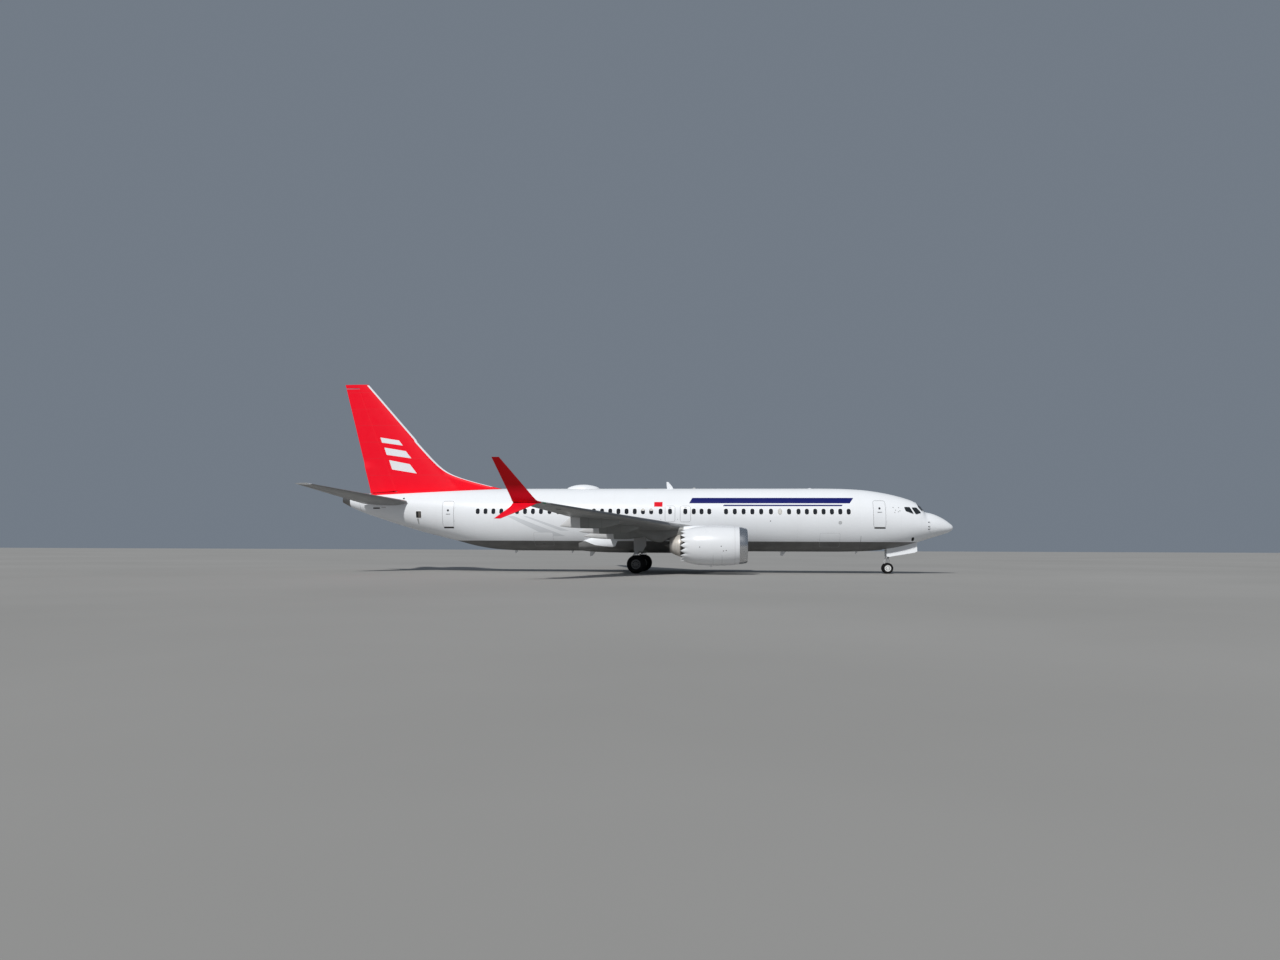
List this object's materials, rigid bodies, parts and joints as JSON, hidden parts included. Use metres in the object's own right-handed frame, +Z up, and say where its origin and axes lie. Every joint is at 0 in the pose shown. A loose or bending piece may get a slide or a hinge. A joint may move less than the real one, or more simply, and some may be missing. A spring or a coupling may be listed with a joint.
{
  "type": "single-aisle twin-engine jet airliner",
  "caption": "Narrow-body passenger jet parked on its gear, with split-tip winglets, scalloped nacelles and hinged rudder, ailerons, elevators and trimming tailplane.",
  "frame": {"origin": "on the ground, at the bottom centre of the whole aircraft: midway along its overall length and on its centreline", "axes": "+X forward towards the nose, +Y to port (the left wing), +Z up"},
  "size_m": [39.52, 35.9304, 12.29],
  "materials": {
    "white_paint": "gloss white enamel",
    "red_paint": "gloss red enamel",
    "wing_paint": "satin grey enamel",
    "polished_metal": "polished",
    "hot_metal": "heat-stained satin",
    "fan_metal": "dark satin",
    "gear_paint": "semi-gloss light grey",
    "hub_paint": "semi-gloss off-white",
    "tyre": "matte",
    "cockpit_glass": "dark gloss"
  },
  "bodies": {
    "airframe": {"radome": "white_paint", "forward_fuselage": "white_paint", "centre_fuselage": "white_paint", "aft_fuselage": "white_paint", "tail_section": "white_paint", "apu_exhaust": "hot_metal", "wing_body_fairing": "white_paint", "satcom_fairing": "white_paint", "vhf_antenna": "white_paint", "vertical_fin": "red_paint", "nose_gear_leg": "gear_paint", "left_nose_gear_door": "white_paint", "left_main_gear_leg": "gear_paint", "right_nose_gear_door": "white_paint", "right_main_gear_leg": "gear_paint", "cockpit_windows": "cockpit_glass", "left_wing": "wing_paint", "left_inboard_flap": "wing_paint", "left_outboard_flap": "wing_paint", "left_winglet": "red_paint", "left_jack_pad": "wing_paint", "left_inner_flap_fairing": "wing_paint", "left_middle_flap_fairing": "wing_paint", "left_outer_flap_fairing": "wing_paint", "left_inlet_lip": "polished_metal", "left_nacelle": "white_paint", "left_engine_core": "hot_metal", "left_pylon": "white_paint", "right_wing": "wing_paint", "right_inboard_flap": "wing_paint", "right_outboard_flap": "wing_paint", "right_winglet": "red_paint", "right_jack_pad": "wing_paint", "right_inner_flap_fairing": "wing_paint", "right_middle_flap_fairing": "wing_paint", "right_outer_flap_fairing": "wing_paint", "right_inlet_lip": "polished_metal", "right_nacelle": "white_paint", "right_engine_core": "hot_metal", "right_pylon": "white_paint"},
    "nose_steering": {"nose_gear_fork": "gear_paint"},
    "nose_wheels": {"nose_wheel_hubs": "hub_paint", "left_nose_tyre": "tyre", "right_nose_tyre": "tyre"},
    "rudder": {"rudder": "red_paint"},
    "left_main_wheels": {"left_main_wheel_hubs": "hub_paint", "left_main_outer_tyre": "tyre", "left_main_inner_tyre": "tyre"},
    "left_fan": {"left_fan": "fan_metal"},
    "left_aileron": {"left_aileron": "wing_paint"},
    "left_stabilizer": {"left_stabilizer": "wing_paint"},
    "left_elevator": {"left_elevator": "wing_paint"},
    "right_main_wheels": {"right_main_wheel_hubs": "hub_paint", "right_main_outer_tyre": "tyre", "right_main_inner_tyre": "tyre"},
    "right_fan": {"right_fan": "fan_metal"},
    "right_aileron": {"right_aileron": "wing_paint"},
    "right_stabilizer": {"right_stabilizer": "wing_paint"},
    "right_elevator": {"right_elevator": "wing_paint"}
  },
  "joints": [
    {"name": "nose_steer", "type": "hinge", "parent": "airframe", "child": "nose_steering", "pos_m": [15.67, 0, 0.9], "axis": [0, 0, 1], "range_deg": [-78, 78]},
    {"name": "nose_wheel_roll", "type": "hinge", "parent": "nose_steering", "child": "nose_wheels", "pos_m": [15.67, 0, 0.34007], "axis": [0, 1, 0], "continuous": true},
    {"name": "rudder_hinge", "type": "hinge", "parent": "airframe", "child": "rudder", "pos_m": [-15.99, 0, 5.2], "axis": [-0.3683, 0, 0.9297], "range_deg": [-29, 29]},
    {"name": "left_main_wheel_roll", "type": "hinge", "parent": "airframe", "child": "left_main_wheels", "pos_m": [0.07, 2.86, 0.56017], "axis": [0, 1, 0], "continuous": true},
    {"name": "left_fan_spin", "type": "hinge", "parent": "airframe", "child": "left_fan", "pos_m": [5.81, 4.83, 1.715], "axis": [1, 0, 0], "continuous": true},
    {"name": "left_aileron_hinge", "type": "hinge", "parent": "airframe", "child": "left_aileron", "pos_m": [-2.85979, 12.34, 3.39976], "axis": [-0.3027, 0.9508, 0.0666], "range_deg": [-20, 20]},
    {"name": "left_stabilizer_trim", "type": "hinge", "parent": "airframe", "child": "left_stabilizer", "pos_m": [-16.49, 1.2, 4.39], "axis": [0, 1, 0], "range_deg": [-4.2, 12.9]},
    {"name": "left_elevator_hinge", "type": "hinge", "parent": "left_stabilizer", "child": "left_elevator", "pos_m": [-16.9945, 1.01, 4.38861], "axis": [-0.3751, 0.9179, 0.1297], "range_deg": [-20, 20]},
    {"name": "right_main_wheel_roll", "type": "hinge", "parent": "airframe", "child": "right_main_wheels", "pos_m": [0.07, -2.86, 0.56017], "axis": [0, 1, 0], "continuous": true},
    {"name": "right_fan_spin", "type": "hinge", "parent": "airframe", "child": "right_fan", "pos_m": [5.81, -4.83, 1.715], "axis": [1, 0, 0], "continuous": true},
    {"name": "right_aileron_hinge", "type": "hinge", "parent": "airframe", "child": "right_aileron", "pos_m": [-4.10764, -16.26, 3.67433], "axis": [0.3027, 0.9508, -0.0666], "range_deg": [-20, 20]},
    {"name": "right_stabilizer_trim", "type": "hinge", "parent": "airframe", "child": "right_stabilizer", "pos_m": [-16.49, -1.2, 4.39], "axis": [0, 1, 0], "range_deg": [-4.2, 12.9]},
    {"name": "right_elevator_hinge", "type": "hinge", "parent": "right_stabilizer", "child": "right_elevator", "pos_m": [-19.40161, -6.9, 5.22113], "axis": [0.3751, 0.9179, -0.1297], "range_deg": [-20, 20]}
  ],
  "couplings": [
    {"joint": "right_stabilizer_trim", "follows": "left_stabilizer_trim", "ratio": 1},
    {"joint": "right_elevator_hinge", "follows": "left_elevator_hinge", "ratio": 1},
    {"joint": "right_aileron_hinge", "follows": "left_aileron_hinge", "ratio": -1}
  ]
}
